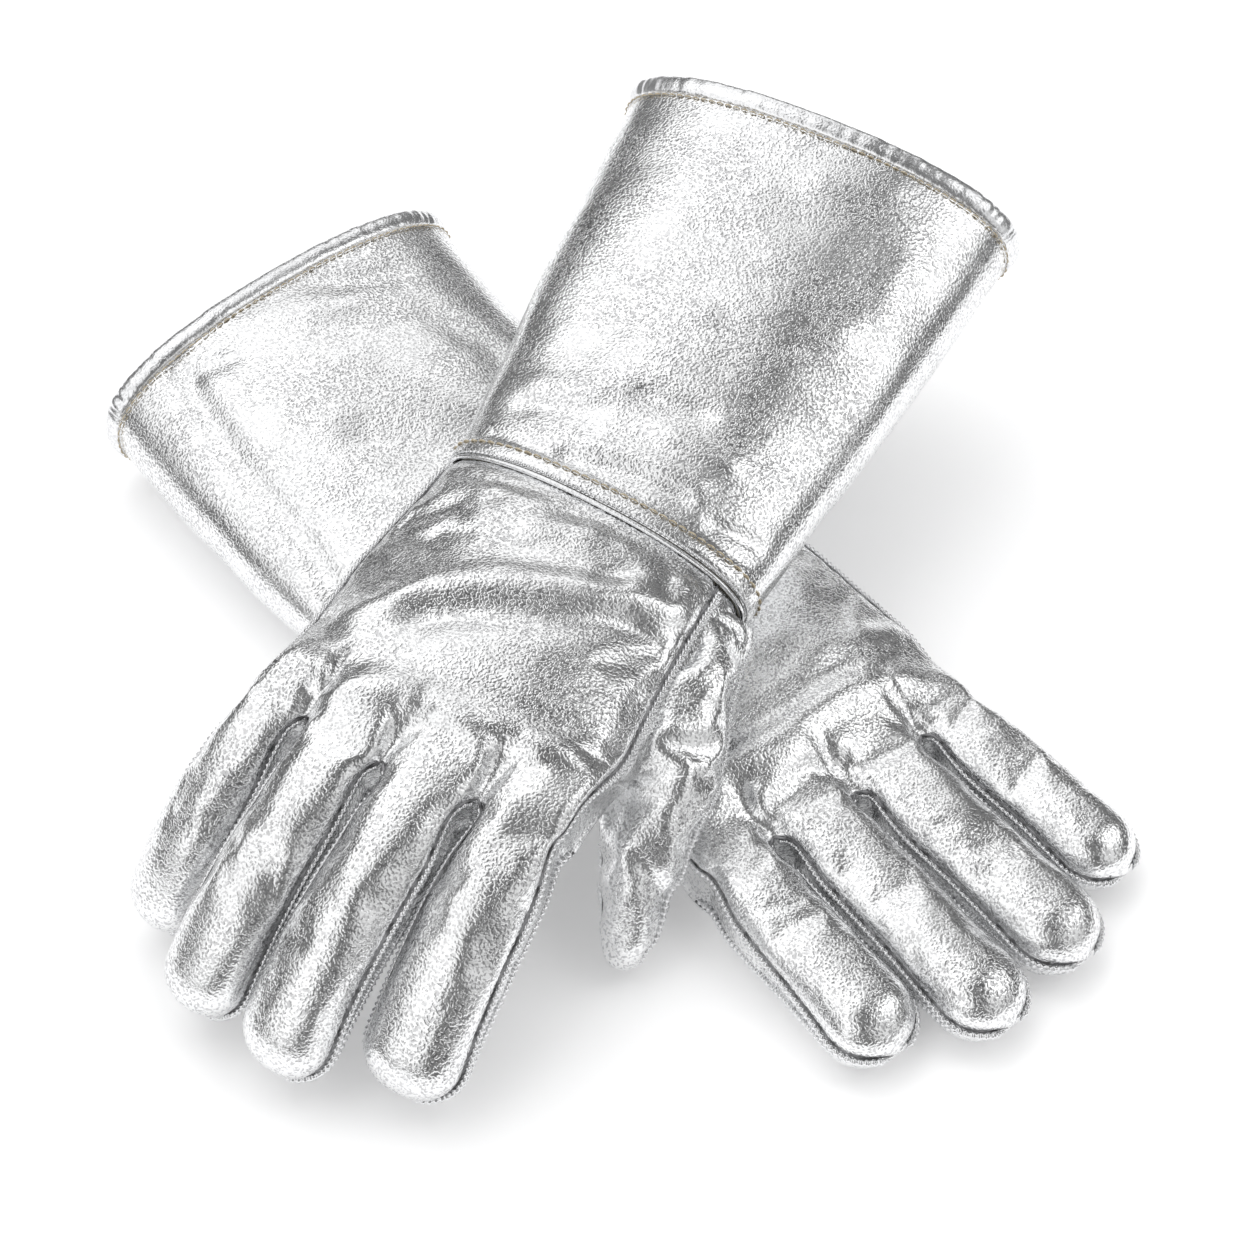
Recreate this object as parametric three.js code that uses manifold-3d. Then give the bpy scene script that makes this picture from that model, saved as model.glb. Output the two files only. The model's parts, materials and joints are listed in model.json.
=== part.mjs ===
// A pair of cryogenic gauntlet gloves, sewn from metallised leather over an insulating liner.
// The left glove lies palm down; the right glove lies across its wrist, also palm down.
// Units are millimetres, +Z is up, and the origin is the middle of the footprint on the table.
//
// Each glove is drawn in its own frame: x runs from the wrist seam to the fingertips,
// y is sideways and z is up. "v" is the sideways distance towards the thumb, which is +y on
// the right glove and -y on the left one. "depth" is the distance inwards from the skin.
import * as THREE from 'three';
import { mergeVertices } from 'three/addons/utils/BufferGeometryUtils.js';
import Module from 'manifold-3d';

const wasm = await Module();
wasm.setup();

const DEG = Math.PI / 180;

// ---------------------------------------------------------------- driving dimensions
const LEATHER = 1.6;            // thickness of every outer leather panel
const LINER_TOP = 2.2;          // depth where the insulating liner starts
const LINER_BOTTOM = 4.6;       // depth where the liner ends and the hand space starts
const DIGIT_LINER_TOP = 3.4;    // the same start inside a finger, whose curve is tighter
const SEAM_GAP = 0.3;           // clearance between two panels sewn edge to edge
const SQUARENESS = 2.3;         // exponent of the rounded cross-sections; 2 is an ellipse

const CUFF_LENGTH = 168;        // wrist seam to rim
const RIM_WRAP = 9;             // width of the binding folded over the rim
const BINDING = 1.1;            // thickness of the binding
const WELT_RADIUS = 1.4;        // half width of the piping in the wrist seam
const PIPING_RISE = 0.9;        // how far the piping stands proud of the leather
const HAND_START = 1.8;         // first ring of the hand panels, clear of the piping
const CUFF_BEND_RUN = 30;       // the cuff bends away from the hand over this distance
const KNUCKLE_ARC = { centre: -10, reach: 109, fall: 0.0033 };   // far edge of the hand panels
const KNUCKLE_STATION = 108;    // where the hand is as wide as its four fingers
const THUMB_GAP = 0.6;          // clearance round a thumb where it meets the hand
const THUMB_HOLE_DEPTH = 3;     // how far inside the thumb's skin the palm's opening is cut
const CUT_TOLERANCE = 0.03;     // corners closer than this after a cut become one
const KNUCKLE_GAP = 1.4;        // clearance between the hand panels and each finger
const FOURCHETTE = 26 * DEG;    // half angle of the strip let into a finger's side
const FOURCHETTE_END = 6 * DEG;
const FOURCHETTE_LENGTH = 0.82; // part of the finger's length that the strip runs along
const STRIP_CLEARANCE = 3.8 * DEG;

// How finely the pieces are faceted: segments round a whole section, and steps along each part.
const SECTION_SEGMENTS = 18;
const HAND_STEPS = 8;
const CUFF_STEPS = 7;
const DIGIT_STEPS = 7;
const DIGIT_LINER_STEPS = 5;

// Heights and widths along a glove are [x, value] stations joined smoothly. "shift" moves the
// section towards the thumb. Each finger has "v", the middle of its root, "root" and "half",
// its half width at the root and further out, "height", its half thickness, "curl", the slope
// of its middle line at the root and the tip, and "strips", the sides with a fourchette:
// +1 faces the thumb and -1 the little finger.
const LEFT = {
  name: 'left', side: -1, place: [-7.8, -7.4, 0], yaw: -47.6, roll: 0,
  half: [[-168, 72.5], [-110, 70.5], [-55, 68], [0, 60], [30, 57.5], [108, 57]],
  shift: [[-168, 0], [-110, 8], [-55, 10], [0, 0], [30, -7], [61, -6], [108, -3.5]],
  top: [[-168, 51], [-110, 48], [-40, 41], [0, 38.5], [45, 36], [80, 33.5], [108, 28.5]],
  middle: [[-168, 25], [-40, 18], [0, 17.5], [25, 20], [85, 19], [108, 14.5]],
  bottom: [[-168, -2], [-40, -1], [0, 0], [24, 17.6], [86, 17.6], [108, 0]],
  cuffRise: 0, cuffTurn: 0, onTable: true, fingerMiddle: 13.6,
  fingers: [
    { name: 'index', v: 40, length: 79, root: 12.9, half: 14.8, height: 13.2, splay: 6.5,
      curl: [0, 3], strips: [-1] },
    { name: 'middle', v: 11.5, length: 88, root: 14, half: 14.6, height: 13.2, splay: 3.8,
      curl: [0, 3], strips: [1, -1] },
    { name: 'ring', v: -19.2, length: 85, root: 14.2, half: 14.6, height: 12.8, splay: 2,
      curl: [0, 3], strips: [1, -1] },
    { name: 'little', v: -48, length: 76, root: 12, half: 13, height: 11.8, splay: -0.5,
      curl: [0, 4], strips: [1] },
  ],
  thumb: { root: [31, 31, 7.4], length: 59, splay: -18, curl: [0, 0], rootHalf: 14, half: 14,
    tipHalf: 12, height: 7, cap: 13 },
};
const RIGHT = {
  name: 'right', side: 1, place: [-10.3, -19.2, 61.5], yaw: -122, roll: -3.8,
  half: [[-168, 70.5], [-120, 67], [-40, 58], [0, 54.5], [45, 54.5], [108, 54]],
  shift: [[-168, -2.5], [0, 0], [45, 1], [86, 3], [108, 2.8]],
  top: [[-168, 27], [-110, 25], [-40, 21.5], [0, 19.5], [45, 20], [80, 18.5], [108, 14]],
  middle: [[-168, 0], [108, 0]],
  bottom: [[-168, -27], [-110, -25], [-40, -21], [0, -19], [45, -19], [80, -18], [108, -15]],
  cuffRise: 7.8, cuffTurn: 5, onTable: false, fingerMiddle: -0.5,
  fingers: [
    { name: 'index', v: 42.3, length: 86, root: 14.2, half: 16.3, height: 13.2, splay: 3,
      curl: [16, 54], strips: [-1] },
    { name: 'middle', v: 12.6, length: 92, root: 14.2, half: 15, height: 13.2, splay: -1.5,
      curl: [14, 53], strips: [1, -1] },
    { name: 'ring', v: -16, length: 88, root: 13.2, half: 14.2, height: 12.8, splay: -4.5,
      curl: [18, 57], strips: [1, -1] },
    { name: 'little', v: -40.3, length: 79, root: 9.9, half: 12.6, height: 11.6, splay: -12,
      curl: [28, 68], strips: [1] },
  ],
  thumb: { root: [18, 48.5, -2], length: 102, splay: 18, curl: [0, 64], rootHalf: 14.5,
    half: 15.5, tipHalf: 8, height: 11, cap: 14 },
};

// ---------------------------------------------------------------- materials
const leather = new THREE.MeshStandardMaterial({ color: 0xc9ccd0, metalness: 0.95, roughness: 0.3 });
const seamLeather = new THREE.MeshStandardMaterial({ color: 0xb4b8bd, metalness: 0.9, roughness: 0.35 });
const fleece = new THREE.MeshStandardMaterial({ color: 0xd9d3c4, metalness: 0, roughness: 0.95 });

// ---------------------------------------------------------------- small helpers
const smooth = (t) => {
  const c = Math.min(1, Math.max(0, t));
  return c * c * (3 - 2 * c);
};
const mix = (a, b, t) => a + (b - a) * t;
const bulge = (c) => Math.sign(c) * Math.abs(c) ** (2 / SQUARENESS);

// Value of a station list at x, eased between neighbouring stations.
function along(stations, x) {
  if (x <= stations[0][0]) return stations[0][1];
  for (let i = 1; i < stations.length; i += 1) {
    const [x0, a] = stations[i - 1];
    const [x1, b] = stations[i];
    if (x <= x1) return mix(a, b, mix(smooth((x - x0) / (x1 - x0)), (x - x0) / (x1 - x0), 0.6));
  }
  return stations[stations.length - 1][1];
}

// Distance forward, distance sideways and heading after a bend of "angle" spread over "run".
function bent(distance, angle, run) {
  if (Math.abs(angle) < 1e-6) return [distance, 0, 0];
  const turned = angle * Math.min(1, distance / run);
  const radius = run / angle;
  const rest = Math.max(0, distance - run);
  return [
    radius * Math.sin(turned) + rest * Math.cos(turned),
    radius * (1 - Math.cos(turned)) + rest * Math.sin(turned),
    turned,
  ];
}

// Closes a placed geometry into one solid: merged corners, no slivers, faces pointing out.
function closed(geometry, tolerance = 1e-3) {
  geometry.deleteAttribute('normal');
  geometry.deleteAttribute('uv');
  const merged = mergeVertices(geometry, tolerance);
  const index = merged.index.array;
  const kept = [];
  for (let i = 0; i < index.length; i += 3) {
    const [a, b, c] = [index[i], index[i + 1], index[i + 2]];
    if (a !== b && b !== c && a !== c) kept.push(a, b, c);
  }
  const p = merged.getAttribute('position');
  const corner = (i) => new THREE.Vector3().fromBufferAttribute(p, i);
  let volume = 0;
  for (let i = 0; i < kept.length; i += 3) {
    volume += corner(kept[i]).dot(corner(kept[i + 1]).cross(corner(kept[i + 2])));
  }
  if (volume < 0) kept.reverse();
  merged.setIndex(kept);
  merged.computeVertexNormals();
  return merged;
}

// A curved slab: a box whose length, width and thickness are placed by place(a, b, c), 0 to 1.
function slab(lengthSteps, widthSteps, place) {
  const box = new THREE.BoxGeometry(1, 1, 1, lengthSteps, widthSteps, 1);
  const p = box.getAttribute('position');
  for (let i = 0; i < p.count; i += 1) {
    p.setXYZ(i, ...place(p.getX(i) + 0.5, p.getY(i) + 0.5, p.getZ(i) + 0.5));
  }
  return closed(box);
}

// A turned body whose "count" profile rings are placed by place(ring, angle). The first and
// last ring are the same for a tube wall, or shrink to a point each for a cup.
function turned(count, segments, place) {
  const profile = Array.from({ length: count }, (_, i) => new THREE.Vector2(1, i));
  const lathe = new THREE.LatheGeometry(profile, segments);
  const p = lathe.getAttribute('position');
  for (let i = 0; i < p.count; i += 1) {
    const angle = (Math.floor(i / count) % segments) * (2 * Math.PI / segments);
    p.setXYZ(i, ...place(i % count, angle));
  }
  return closed(lathe);
}

function toSolid(geometry) {
  return new wasm.Manifold(new wasm.Mesh({
    numProp: 3,
    vertProperties: new Float32Array(geometry.getAttribute('position').array),
    triVerts: new Uint32Array(geometry.index.array),
  }));
}

// What is left of a piece after a cut, without any offcut.
function cut(geometry, cutter) {
  const pieces = toSolid(geometry).subtract(toSolid(cutter)).decompose();
  const largest = pieces.reduce((a, b) => (b.volume() > a.volume() ? b : a));
  const { vertProperties, triVerts } = largest.getMesh();
  const result = new THREE.BufferGeometry();
  result.setAttribute('position', new THREE.BufferAttribute(vertProperties, 3));
  result.setIndex(new THREE.BufferAttribute(triVerts, 1));
  return closed(result, CUT_TOLERANCE);
}

function mesh(name, geometry, material) {
  const made = new THREE.Mesh(geometry, material);
  made.name = name;
  return made;
}

// ---------------------------------------------------------------- hand and cuff surface
const knuckleX = (v) => KNUCKLE_ARC.reach - KNUCKLE_ARC.fall * (v - KNUCKLE_ARC.centre) ** 2;
const knuckleSlope = (v) => -2 * KNUCKLE_ARC.fall * (v - KNUCKLE_ARC.centre);

// Point on the glove's hand or cuff at x, round the section by angle, sunk by depth.
function skin(glove, x, angle, depth, lift = 0) {
  const half = along(glove.half, x) - depth;
  const middle = along(glove.middle, x);
  const s = bulge(Math.sin(angle));
  const reach = s > 0 ? along(glove.top, x) - middle : middle - along(glove.bottom, x);
  const y = half * bulge(Math.cos(angle)) + along(glove.shift, x) * glove.side;
  let z = middle + (reach - depth) * s + lift;
  if (x >= 0) return [x, y, glove.onTable ? Math.max(z, depth) : z];
  const [forward, sideways, turn] = bent(-x, glove.cuffTurn * DEG, CUFF_BEND_RUN);
  const [, climb, tilt] = bent(-x, glove.cuffRise * DEG, CUFF_BEND_RUN);
  const rim = (-x / CUFF_LENGTH) * (BINDING + SEAM_GAP);
  z = glove.onTable ? Math.max(z, depth + rim) : z;
  return [
    -forward + z * Math.sin(tilt) - y * Math.sin(turn) * glove.side,
    -sideways * glove.side + y * Math.cos(turn),
    climb + z * Math.cos(tilt),
  ];
}

// Sideways position at the knuckles of the skin at this angle round the section.
const acrossKnuckles = (glove, angle) => glove.side * along(glove.half, KNUCKLE_STATION)
  * bulge(Math.cos(angle)) + along(glove.shift, KNUCKLE_STATION);

// Upper or lower half of a stretch of the glove's wall.
function halfWall(glove, from, to, up, steps) {
  return slab(steps, SECTION_SEGMENTS / 2, (a, b, c) => {
    const angle = up * Math.PI * b;
    const v = acrossKnuckles(glove, angle);
    const end = to === null ? knuckleX(v) : to;
    return skin(glove, mix(from, end, a), angle, LEATHER * c, up * SEAM_GAP / 2);
  });
}

// A full tube wall between two depths, open at both ends.
function tubeWall(glove, from, to, outer, inner, steps) {
  const count = 2 * (steps + 1) + 1;
  return turned(count, SECTION_SEGMENTS, (ring, angle) => {
    const i = ring % (count - 1);
    const inside = i > steps;
    const step = inside ? 2 * steps + 1 - i : i;
    const v = acrossKnuckles(glove, angle);
    const end = to === null ? knuckleX(v) : to;
    return skin(glove, mix(from, end, step / steps), angle, inside ? inner : outer);
  });
}

// A band round the glove whose section is a closed list of [x, depth] corners.
function band(glove, corners) {
  return turned(corners.length + 1, SECTION_SEGMENTS, (ring, angle) => {
    const [x, depth] = corners[ring % corners.length];
    return skin(glove, x, angle, depth);
  });
}

function rimBinding(glove) {
  const outer = -BINDING - SEAM_GAP;
  const inner = LINER_BOTTOM + 2 * SEAM_GAP;
  const end = -CUFF_LENGTH;
  return band(glove, [
    [end + RIM_WRAP, outer], [end, outer], [end, inner + BINDING], [end + RIM_WRAP, inner + BINDING],
    [end + RIM_WRAP, inner], [end + BINDING, inner], [end + BINDING, -SEAM_GAP],
    [end + RIM_WRAP, -SEAM_GAP],
  ]);
}

function wristPiping(glove) {
  const w = WELT_RADIUS;
  const crown = -PIPING_RISE;
  const corners = [[-w, 0.2], [-0.6 * w, crown], [0.6 * w, crown], [w, 0.2], [w, LEATHER], [-w, LEATHER]];
  return turned(corners.length + 1, SECTION_SEGMENTS, (i, angle) => {
    const [x, depth] = corners[i % corners.length];
    const [px, py, pz] = skin({ ...glove, onTable: false, cuffRise: 0, cuffTurn: 0 }, x, angle, depth);
    return [px, py, glove.onTable ? Math.max(pz, depth + PIPING_RISE) : pz];
  });
}

// ---------------------------------------------------------------- fingers and thumb
// A digit is drawn in its own frame: x along it, z up, with its hinge line at the origin. Its
// middle line bends down from curl[0] to curl[1] degrees; "floor" is the table's height.
function digitPoint(d, s, angle, depth, lift = 0) {
  const start = d.length - d.cap;
  const round = s <= start ? 1 : Math.sqrt(Math.max(0, 1 - ((s - start) / (d.cap - depth)) ** 2));
  const taper = smooth((s / d.length - 0.35) / 0.65);
  const width = mix(mix(d.rootHalf, d.half, smooth(s / (0.4 * d.length))), d.tipHalf, taper);
  const h = (d.height - depth) * round * bulge(Math.sin(angle)) + lift;
  const rate = (d.curl[1] - d.curl[0]) * DEG / d.length;
  const p0 = d.curl[0] * DEG;
  const p = p0 + rate * s;
  const straight = Math.abs(rate) < 1e-7;
  const x = straight ? s * Math.cos(p0) : (Math.sin(p) - Math.sin(p0)) / rate;
  const drop = straight ? s * Math.sin(p0) : (Math.cos(p0) - Math.cos(p)) / rate;
  const z = -d.height - drop + h * Math.cos(p);
  return [
    x + h * Math.sin(p),
    (width - depth) * round * bulge(Math.cos(angle)),
    Math.max(z, d.floor + depth),
  ];
}

// Where the digit's upright, slanted root lies for a point at this angle round it.
const rootAt = (d, angle) => d.slant * d.rootHalf * bulge(Math.cos(angle))
  - d.height * Math.tan(d.curl[0] * DEG) * bulge(Math.sin(angle));

// Half angle left free for a fourchette on one side of a digit, at s along it.
function stripAngle(d, side, s) {
  if (!d.strips.includes(side)) return 0;
  const t = Math.min(1, Math.max(0, s / (FOURCHETTE_LENGTH * d.length)));
  return t < 1 ? mix(FOURCHETTE, FOURCHETTE_END, t * t) : FOURCHETTE_END * (1 - smooth((s / d.length
    - FOURCHETTE_LENGTH) / (1 - FOURCHETTE_LENGTH)));
}

function digitPanel(d, up) {
  return slab(DIGIT_STEPS, 5, (a, b, c) => {
    const depth = LEATHER * c;
    const t = 1 - (1 - a) ** 2;
    const guess = mix(rootAt(d, up * Math.PI * b), d.length - depth, t);
    const near = stripAngle(d, 1, guess);
    const far = stripAngle(d, -1, guess);
    const angle = mix(near, Math.PI - far, b);
    const s = mix(rootAt(d, up * angle), d.length - depth, t);
    return digitPoint(d, s, up * angle, depth, up * SEAM_GAP / 2);
  });
}

function digitStrip(d, side) {
  return slab(DIGIT_STEPS, 2, (a, b, c) => {
    const end = FOURCHETTE_LENGTH * d.length;
    const middle = side > 0 ? 0 : Math.PI;
    const s = mix(rootAt(d, middle) + SEAM_GAP, end, a);
    const angle = middle + (stripAngle(d, side, s) - STRIP_CLEARANCE) * mix(-1, 1, b);
    return digitPoint(d, s, angle, LEATHER * c);
  });
}

function digitLiner(d) {
  const steps = DIGIT_LINER_STEPS;
  const count = 2 * (steps + 1);
  return turned(count, 8, (ring, angle) => {
    const inside = ring > steps;
    const step = inside ? ring - steps - 1 : steps - ring;
    const depth = inside ? LINER_BOTTOM : DIGIT_LINER_TOP;
    const t = 1 - (1 - step / steps) ** 2;
    return digitPoint(d, mix(rootAt(d, angle) + 1, d.length - depth, t), angle, depth);
  });
}

// The space inside the root of a digit, carried back into the hand, as one solid.
function digitCore(d) {
  const stations = [-14, -14, 0, 0.15 * d.length, 0.3 * d.length, 0.3 * d.length];
  return turned(stations.length, 12, (ring, angle) => {
    const s = stations[ring];
    const tip = ring === 0 || ring === stations.length - 1;
    const [x, y, z] = digitPoint(d, s, angle, THUMB_HOLE_DEPTH);
    if (!tip) return [x, y, z];
    const [x1, y1, z1] = digitPoint(d, s, angle + Math.PI, THUMB_HOLE_DEPTH);
    return [(x + x1) / 2, (y + y1) / 2, (z + z1) / 2];
  });
}

// Everything inside the hand's skin, swollen by THUMB_GAP, as one solid.
function handCore(glove) {
  const steps = HAND_STEPS;
  return turned(steps + 3, SECTION_SEGMENTS, (ring, angle) => {
    const a = Math.min(steps, Math.max(0, ring - 1)) / steps;
    const x = mix(-HAND_START, knuckleX(acrossKnuckles(glove, angle)), a);
    if (ring > 0 && ring < steps + 2) return skin({ ...glove, onTable: false }, x, angle, -THUMB_GAP);
    const end = ring === 0 ? -HAND_START : KNUCKLE_ARC.reach;
    return [end, along(glove.shift, end) * glove.side, along(glove.middle, end) + 1];
  });
}

function digit(glove, d, prefix) {
  const group = new THREE.Group();
  group.name = `${prefix}_hinge`;
  group.add(mesh(`${prefix}_back`, digitPanel(d, 1), leather));
  group.add(mesh(`${prefix}_front`, digitPanel(d, -1), leather));
  group.add(mesh(`${prefix}_liner`, digitLiner(d), fleece));
  for (const side of d.strips) {
    const towards = side * glove.side > 0 ? 'thumb' : 'little';
    group.add(mesh(`${prefix}_fourchette_${towards}_side`, digitStrip(d, side), seamLeather));
  }
  return group;
}

function finger(glove, shape) {
  const splay = shape.splay * DEG;
  const slope = Math.tan(splay + Math.atan(knuckleSlope(shape.v)));
  const hingeZ = glove.fingerMiddle + shape.height;
  const group = digit(glove, {
    length: shape.length, cap: shape.height + 1, rootHalf: shape.root, half: shape.half,
    tipHalf: shape.half, height: shape.height, curl: shape.curl, slant: slope * glove.side,
    strips: shape.strips.map((side) => side * glove.side),
    floor: glove.onTable ? -hingeZ : -Infinity,
  }, `${glove.name}_${shape.name}`);
  group.position.set(knuckleX(shape.v) + KNUCKLE_GAP, shape.v * glove.side, hingeZ);
  group.rotation.z = splay * glove.side;
  return group;
}

// The thumb meets the palm where the two skins cross: its root is trimmed to the hand, and
// the palm and its liner are opened into it.
function addThumb(glove, hand) {
  const shape = glove.thumb;
  const hingeZ = shape.root[2] + shape.height;
  const d = { ...shape, slant: 0, strips: [], floor: glove.onTable ? -hingeZ : -Infinity };
  const group = digit(glove, d, `${glove.name}_thumb`);
  group.position.set(shape.root[0], shape.root[1] * glove.side, hingeZ);
  group.rotation.z = shape.splay * DEG * glove.side;
  group.updateMatrix();
  const handSpace = handCore(glove).applyMatrix4(group.matrix.clone().invert());
  for (const piece of group.children) piece.geometry = cut(piece.geometry, handSpace);
  const opening = digitCore(d).applyMatrix4(group.matrix);
  for (const piece of hand.children) {
    if (/hand_(palm|liner)$/.test(piece.name)) piece.geometry = cut(piece.geometry, opening);
  }
  hand.add(group);
}

// ---------------------------------------------------------------- one whole glove
function buildGlove(glove) {
  const group = new THREE.Group();
  const name = (part) => `${glove.name}_${part}`;
  const cuffFrom = -HAND_START;
  const cuffTo = -CUFF_LENGTH + BINDING + SEAM_GAP;
  group.add(mesh(name('hand_back'), halfWall(glove, HAND_START, null, 1, HAND_STEPS), leather));
  group.add(mesh(name('hand_palm'), halfWall(glove, HAND_START, null, -1, HAND_STEPS), leather));
  group.add(mesh(name('hand_liner'),
    tubeWall(glove, HAND_START, null, LINER_TOP, LINER_BOTTOM, HAND_STEPS), fleece));
  group.add(mesh(name('wrist_piping'), wristPiping(glove), seamLeather));
  group.add(mesh(name('cuff_back'), halfWall(glove, cuffFrom, cuffTo, 1, CUFF_STEPS), leather));
  group.add(mesh(name('cuff_palm'), halfWall(glove, cuffFrom, cuffTo, -1, CUFF_STEPS), leather));
  group.add(mesh(name('cuff_lining'),
    tubeWall(glove, cuffFrom, cuffTo, LINER_TOP, LINER_BOTTOM, CUFF_STEPS), fleece));
  group.add(mesh(name('cuff_binding'), rimBinding(glove), seamLeather));
  glove.fingers.forEach((shape) => group.add(finger(glove, shape)));
  addThumb(glove, group);
  group.rotation.set(glove.roll * DEG, 0, glove.yaw * DEG, 'ZYX');
  group.position.set(...glove.place);
  return group;
}

// ---------------------------------------------------------------- the pair, on its origin
const pair = new THREE.Group();
pair.add(buildGlove(LEFT), buildGlove(RIGHT));
pair.updateMatrixWorld(true);
const box = new THREE.Box3().setFromObject(pair, true);
pair.position.set(-(box.min.x + box.max.x) / 2, -(box.min.y + box.max.y) / 2, -box.min.z);

export default pair;
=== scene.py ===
"""A pair of cryogenic gauntlet gloves in silver leather: the right glove lies across the left one.

Every glove is one net of quads for its hand and fingers, folded and wrinkled in code, blown out by a short
cloth simulation and cut at the knuckles. The cuffs, thumbs, seams, stitches and linings are pieces of
their own. Shapes are in millimetres in each glove's own frame, and go into the frame in metres.
"""

import json
import math

import bpy
import numpy as np
from mathutils import Matrix, Vector, noise


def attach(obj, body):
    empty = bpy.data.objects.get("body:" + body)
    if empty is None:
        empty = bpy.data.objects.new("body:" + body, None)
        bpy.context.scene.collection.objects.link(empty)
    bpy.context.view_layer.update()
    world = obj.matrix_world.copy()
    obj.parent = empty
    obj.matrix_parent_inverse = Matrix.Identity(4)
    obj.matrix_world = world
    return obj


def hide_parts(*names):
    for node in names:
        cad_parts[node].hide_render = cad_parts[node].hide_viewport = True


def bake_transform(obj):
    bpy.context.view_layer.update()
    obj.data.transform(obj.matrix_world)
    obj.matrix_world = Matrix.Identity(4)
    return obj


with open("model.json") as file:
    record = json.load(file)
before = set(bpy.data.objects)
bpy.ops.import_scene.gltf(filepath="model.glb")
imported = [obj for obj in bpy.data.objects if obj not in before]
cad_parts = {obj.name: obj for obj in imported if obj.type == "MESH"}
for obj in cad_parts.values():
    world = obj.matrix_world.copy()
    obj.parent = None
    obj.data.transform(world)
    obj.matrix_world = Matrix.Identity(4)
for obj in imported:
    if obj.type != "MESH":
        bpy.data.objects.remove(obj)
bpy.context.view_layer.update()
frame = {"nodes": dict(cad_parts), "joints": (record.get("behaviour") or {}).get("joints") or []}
JOINTS = {joint["name"]: joint for joint in frame["joints"]}
MM = 0.001

# ---------------- shape of the gloves, in millimetres
# LEFT and RIGHT hold the CAD's numbers, but for the right thumb, whose half width is 15.5 there.
# Each glove has its own frame: x runs from the wrist seam to the fingertips, y is sideways and z is
# up. "v" is the sideways distance towards the thumb, which is +y on the right glove. An angle goes
# round a section from the +y side, 0, over the back, pi / 2, to the -y side, pi.
SQUARENESS = 2.3        # of the superellipse that each section is: 2 is an ellipse
CUFF_LENGTH = 168
CUFF_BEND_RUN = 30      # the turn and rise of a cuff are spread over this distance past the wrist
CUFF_EDGE_SAG = 1.4     # how far the rim of the cuff on the table stands above it
KNUCKLE_CENTRE, KNUCKLE_REACH, KNUCKLE_FALL = -10, 109, 0.0033
KNUCKLE_GAP = 1.4
KNUCKLE_STATION = 108
# The strip sewn into each side of a finger: its half angle at the root and at its end, and its length
# as a share of the finger's.
STRIP_ANGLE, STRIP_END_ANGLE, STRIP_LENGTH = math.radians(26), math.radians(6), 0.82

LEFT = dict(
    name="left", side=-1, yaw=-47.6, roll=0, on_table=True, finger_middle=13.6, cuff_rise=0, cuff_turn=0,
    half=[[-168, 72.5], [-110, 70.5], [-55, 68], [0, 60], [30, 57.5], [108, 57]],
    shift=[[-168, 0], [-110, 8], [-55, 10], [0, 0], [30, -7], [61, -6], [108, -3.5]],
    top=[[-168, 51], [-110, 48], [-40, 41], [0, 38.5], [45, 36], [80, 33.5], [108, 28.5]],
    middle=[[-168, 25], [-40, 18], [0, 17.5], [25, 20], [85, 19], [108, 14.5]],
    bottom=[[-168, -2], [-40, -1], [0, 0], [24, 17.6], [86, 17.6], [108, 0]],
    fingers=[
        dict(name="index", v=40, length=79, root=12.9, half=14.8, height=13.2, splay=6.5, curl=(0, 3)),
        dict(name="middle", v=11.5, length=88, root=14, half=14.6, height=13.2, splay=3.8, curl=(0, 3)),
        dict(name="ring", v=-19.2, length=85, root=14.2, half=14.6, height=12.8, splay=2, curl=(0, 3)),
        dict(name="little", v=-48, length=76, root=12, half=13, height=11.8, splay=-0.5, curl=(0, 4)),
    ],
    thumb=dict(name="thumb", root_place=(31, 31, 7.4), length=59, splay=-18, curl=(0, 0), root=14, half=14,
               tip=12, height=7, cap=13),
)
RIGHT = dict(
    name="right", side=1, yaw=-122, roll=-3.8, on_table=False, finger_middle=-0.5,
    cuff_rise=7.8, cuff_turn=5,
    half=[[-168, 70.5], [-120, 67], [-40, 58], [0, 54.5], [45, 54.5], [108, 54]],
    shift=[[-168, -2.5], [0, 0], [45, 1], [86, 3], [108, 2.8]],
    top=[[-168, 27], [-110, 25], [-40, 21.5], [0, 19.5], [45, 20], [80, 18.5], [108, 14]],
    middle=[[-168, 0], [108, 0]],
    bottom=[[-168, -27], [-110, -25], [-40, -21], [0, -19], [45, -19], [80, -18], [108, -15]],
    fingers=[
        dict(name="index", v=42.3, length=86, root=14.2, half=16.3, height=13.2, splay=3, curl=(16, 54)),
        dict(name="middle", v=12.6, length=92, root=14.2, half=15, height=13.2, splay=-1.5, curl=(14, 53)),
        dict(name="ring", v=-16, length=88, root=13.2, half=14.2, height=12.8, splay=-4.5, curl=(18, 57)),
        dict(name="little", v=-40.3, length=79, root=9.9, half=12.6, height=11.6, splay=-12, curl=(28, 68)),
    ],
    thumb=dict(name="thumb", root_place=(18, 48.5, -2), length=102, splay=18, curl=(0, 64), root=14.5,
               half=17, tip=8, height=11, cap=14),
)


def smooth(t):
    c = np.clip(t, 0, 1)
    return c * c * (3 - 2 * c)


def mix(a, b, t):
    return a + (b - a) * t


def round_angles(count):
    return np.arange(count) * 2 * np.pi / count


def bulge(c, squareness=SQUARENESS):
    return np.sign(c) * np.abs(c) ** (2 / squareness)


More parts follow.
